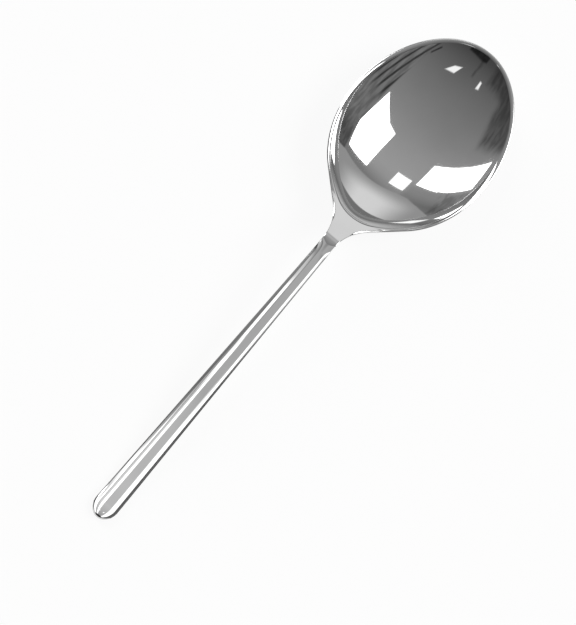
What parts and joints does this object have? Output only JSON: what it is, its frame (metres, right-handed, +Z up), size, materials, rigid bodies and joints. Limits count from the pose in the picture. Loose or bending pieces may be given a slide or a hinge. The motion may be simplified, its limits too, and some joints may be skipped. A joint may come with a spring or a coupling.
{
  "type": "tablespoon",
  "caption": "Mirror-polished steel tablespoon with an egg-shaped bowl, a flared neck that climbs from it and a slim domed handle that widens to a rounded tail.",
  "frame": {"origin": "middle of the spoon's length and width, on the surface that it lies on", "axes": "+X along the spoon towards the tip of the bowl, +Y across it, +Z up out of the bowl"},
  "size_m": [0.2, 0.055, 0.0183],
  "materials": {
    "polished_steel": "mirror-polished stainless steel"
  },
  "bodies": {
    "root": {"bowl": "polished_steel", "handle": "polished_steel"}
  },
  "joints": []
}
